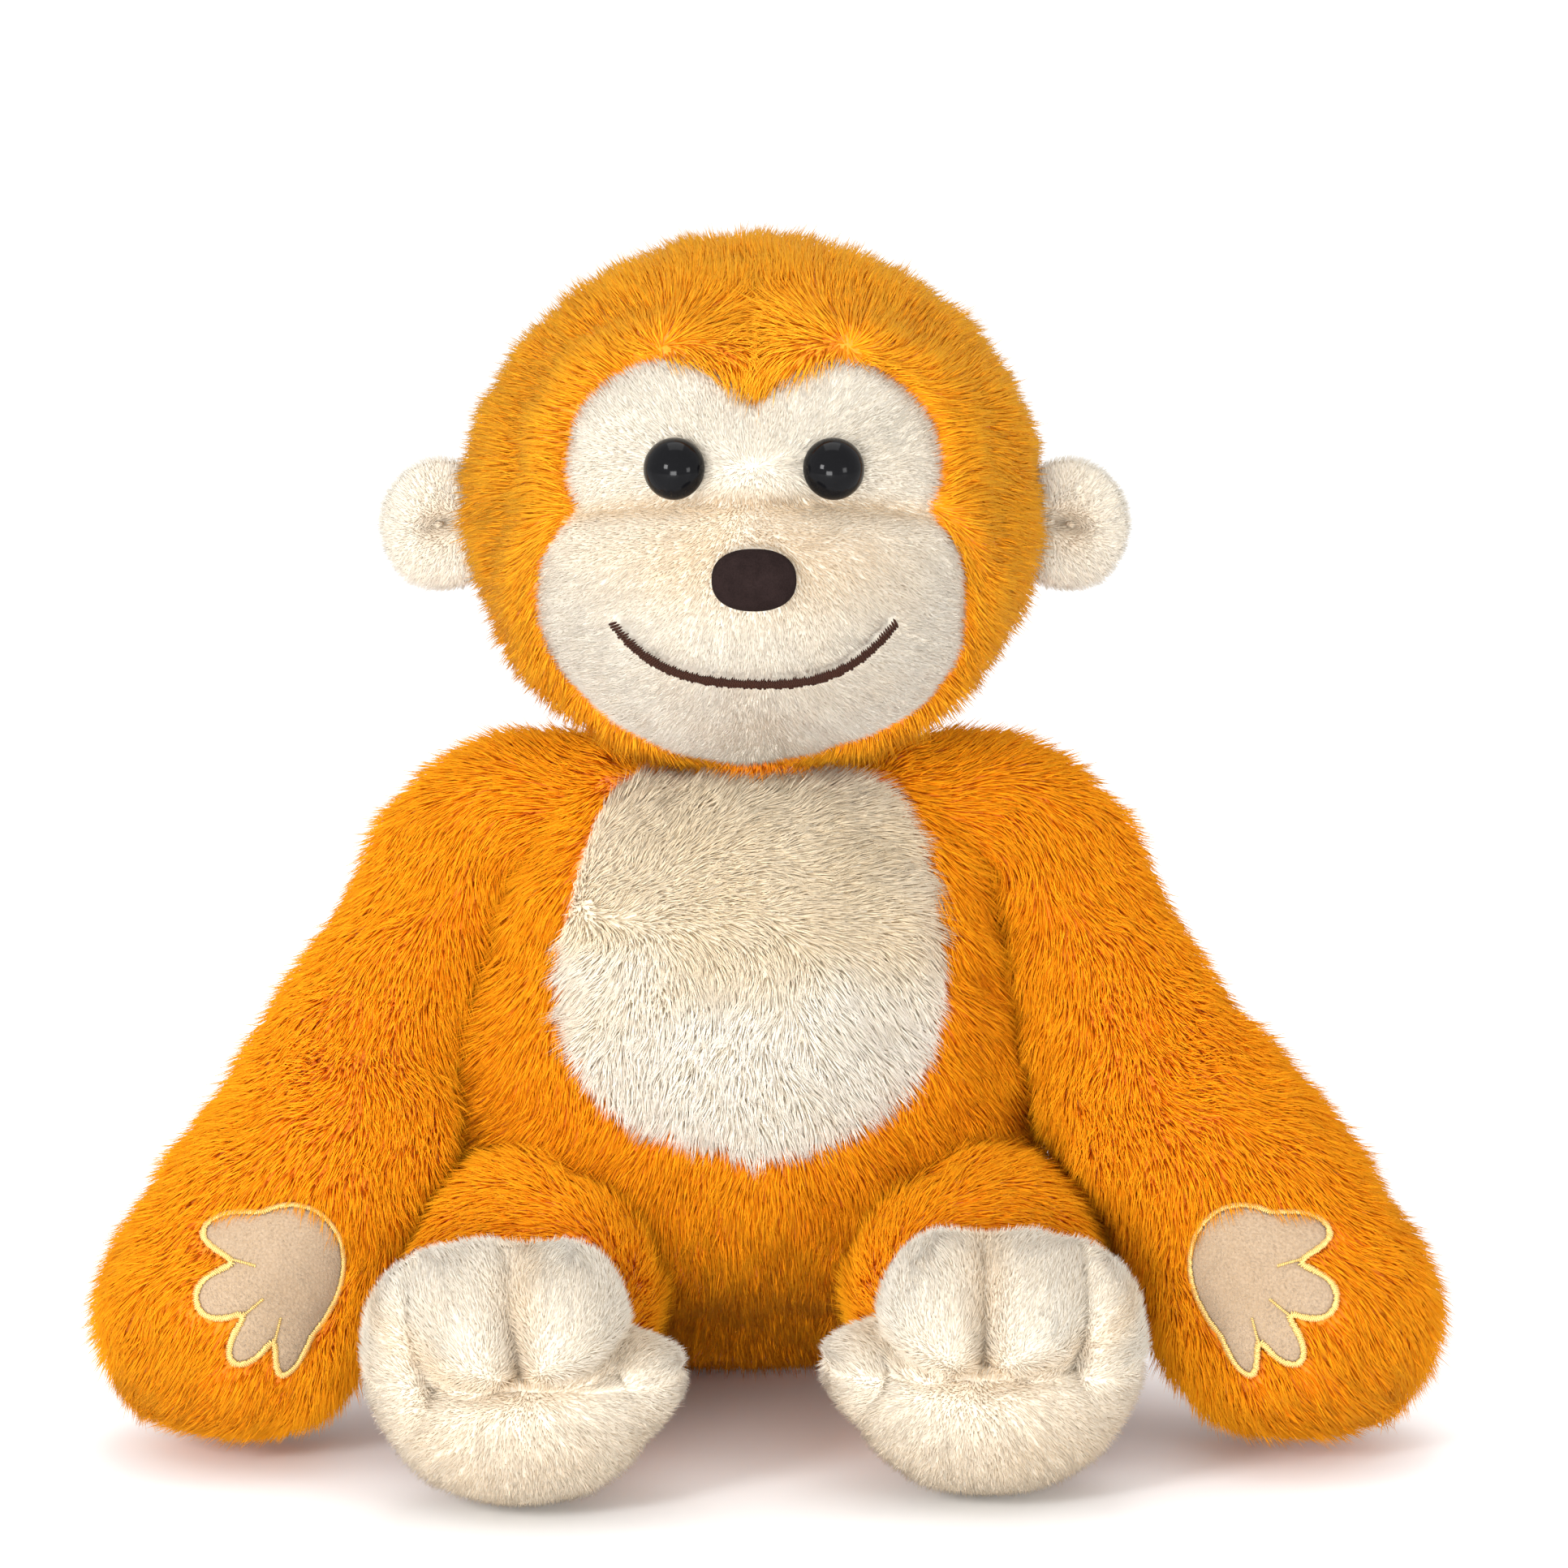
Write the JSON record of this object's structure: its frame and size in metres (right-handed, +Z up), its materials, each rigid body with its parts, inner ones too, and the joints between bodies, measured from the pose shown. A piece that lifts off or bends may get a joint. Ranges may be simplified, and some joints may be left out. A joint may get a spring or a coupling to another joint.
{
  "type": "stuffed monkey",
  "caption": "Seated plush monkey with a round head, domed eyes, stitched smile, small ears, long soft arms with palm patches, and short legs with toed feet.",
  "frame": {"origin": "middle of the bounding box, on the surface the toy sits on", "axes": "+Z up, -Y the way the toy faces, +X towards the toy's own left"},
  "size_m": [0.337, 0.1937, 0.2998],
  "materials": {
    "orange_fur": "long-pile plush, orange",
    "cream_fur": "plush, cream",
    "palm_velour": "velour, cream",
    "gold_thread": "metallic embroidery thread",
    "brown_thread": "satin-stitch embroidery thread",
    "black_plastic": "polished",
    "nose_flock": "flocked, dark brown",
    "white_plastic": "as moulded",
    "fibre_fill": "loose polyester fibre",
    "bag_cloth": "thin woven bag of pellets"
  },
  "bodies": {
    "torso": {"torso_cover": "orange_fur", "belly_panel": "cream_fur", "seat_panel": "orange_fur", "torso_filling": "fibre_fill", "seat_bean_bag": "bag_cloth", "back_closing_stitches": "orange_fur"},
    "neck": {"neck_seam_thread": "orange_fur", "neck_filling": "fibre_fill"},
    "head": {"head_cover": "orange_fur", "brow_panel": "cream_fur", "muzzle_panel": "cream_fur", "head_filling": "fibre_fill", "smile_thread": "brown_thread", "left_eye": "black_plastic", "right_eye": "black_plastic", "left_eye_washer": "white_plastic", "right_eye_washer": "white_plastic", "nose": "nose_flock", "nose_washer": "white_plastic"},
    "left_ear": {"left_ear_front": "cream_fur", "left_ear_back": "cream_fur"},
    "left_shoulder_seam": {"left_shoulder_thread": "orange_fur"},
    "left_upper_arm": {"left_upper_arm_cover": "orange_fur", "left_upper_arm_filling": "fibre_fill"},
    "left_forearm": {"left_forearm_cover": "orange_fur", "left_forearm_filling": "fibre_fill", "left_palm_patch": "palm_velour", "left_palm_edging": "gold_thread"},
    "left_leg": {"left_leg_cover": "orange_fur", "left_leg_filling": "fibre_fill"},
    "left_foot": {"left_foot_cover": "cream_fur", "left_foot_filling": "fibre_fill", "left_toe_stitches": "cream_fur"},
    "right_ear": {"right_ear_front": "cream_fur", "right_ear_back": "cream_fur"},
    "right_shoulder_seam": {"right_shoulder_thread": "orange_fur"},
    "right_upper_arm": {"right_upper_arm_cover": "orange_fur", "right_upper_arm_filling": "fibre_fill"},
    "right_forearm": {"right_forearm_cover": "orange_fur", "right_forearm_filling": "fibre_fill", "right_palm_patch": "palm_velour", "right_palm_edging": "gold_thread"},
    "right_leg": {"right_leg_cover": "orange_fur", "right_leg_filling": "fibre_fill"},
    "right_foot": {"right_foot_cover": "cream_fur", "right_foot_filling": "fibre_fill", "right_toe_stitches": "cream_fur"}
  },
  "joints": [
    {"name": "neck_turn", "type": "hinge", "parent": "torso", "child": "neck", "pos_m": [0, 0.0337, 0.168], "axis": [0, 0, 1], "range_deg": [-60, 60], "stiffness_Nm_per_rad": 0.3},
    {"name": "neck_nod", "type": "hinge", "parent": "neck", "child": "head", "pos_m": [0, 0.0337, 0.168], "axis": [1, 0, 0], "range_deg": [-12, 8], "stiffness_Nm_per_rad": 1},
    {"name": "left_ear_flex", "type": "hinge", "parent": "head", "child": "left_ear", "pos_m": [0.0733, 0.0377, 0.225], "axis": [0, 0, 1], "range_deg": [-25, 25], "stiffness_Nm_per_rad": 0.02},
    {"name": "left_shoulder_swing", "type": "hinge", "parent": "torso", "child": "left_shoulder_seam", "pos_m": [0.063, 0.0367, 0.15], "axis": [-1, 0, 0], "range_deg": [-25, 100], "stiffness_Nm_per_rad": 0.4},
    {"name": "left_shoulder_lift", "type": "hinge", "parent": "left_shoulder_seam", "child": "left_upper_arm", "pos_m": [0.063, 0.0367, 0.15], "axis": [0, -1, 0], "range_deg": [0, 50], "stiffness_Nm_per_rad": 0.4},
    {"name": "left_elbow_bend", "type": "hinge", "parent": "left_upper_arm", "child": "left_forearm", "pos_m": [0.108, 0.0137, 0.095], "axis": [-1, 0, 0], "range_deg": [0, 72], "stiffness_Nm_per_rad": 0.3},
    {"name": "left_hip_swing", "type": "hinge", "parent": "torso", "child": "left_leg", "pos_m": [0.05, -0.0043, 0.04], "axis": [-1, 0, 0], "range_deg": [-8, 14], "stiffness_Nm_per_rad": 0.8},
    {"name": "left_ankle_bend", "type": "hinge", "parent": "left_leg", "child": "left_foot", "pos_m": [0.055, -0.0483, 0.037], "axis": [1, 0, 0], "range_deg": [-18, 18], "stiffness_Nm_per_rad": 0.4},
    {"name": "right_ear_flex", "type": "hinge", "parent": "head", "child": "right_ear", "pos_m": [-0.0733, 0.0377, 0.225], "axis": [0, 0, 1], "range_deg": [-25, 25], "stiffness_Nm_per_rad": 0.02},
    {"name": "right_shoulder_swing", "type": "hinge", "parent": "torso", "child": "right_shoulder_seam", "pos_m": [-0.063, 0.0367, 0.15], "axis": [-1, 0, 0], "range_deg": [-25, 100], "stiffness_Nm_per_rad": 0.4},
    {"name": "right_shoulder_lift", "type": "hinge", "parent": "right_shoulder_seam", "child": "right_upper_arm", "pos_m": [-0.063, 0.0367, 0.15], "axis": [0, 1, 0], "range_deg": [0, 50], "stiffness_Nm_per_rad": 0.4},
    {"name": "right_elbow_bend", "type": "hinge", "parent": "right_upper_arm", "child": "right_forearm", "pos_m": [-0.108, 0.0137, 0.095], "axis": [-1, 0, 0], "range_deg": [0, 72], "stiffness_Nm_per_rad": 0.3},
    {"name": "right_hip_swing", "type": "hinge", "parent": "torso", "child": "right_leg", "pos_m": [-0.05, -0.0043, 0.04], "axis": [-1, 0, 0], "range_deg": [-8, 14], "stiffness_Nm_per_rad": 0.8},
    {"name": "right_ankle_bend", "type": "hinge", "parent": "right_leg", "child": "right_foot", "pos_m": [-0.055, -0.0483, 0.037], "axis": [1, 0, 0], "range_deg": [-18, 18], "stiffness_Nm_per_rad": 0.4}
  ]
}
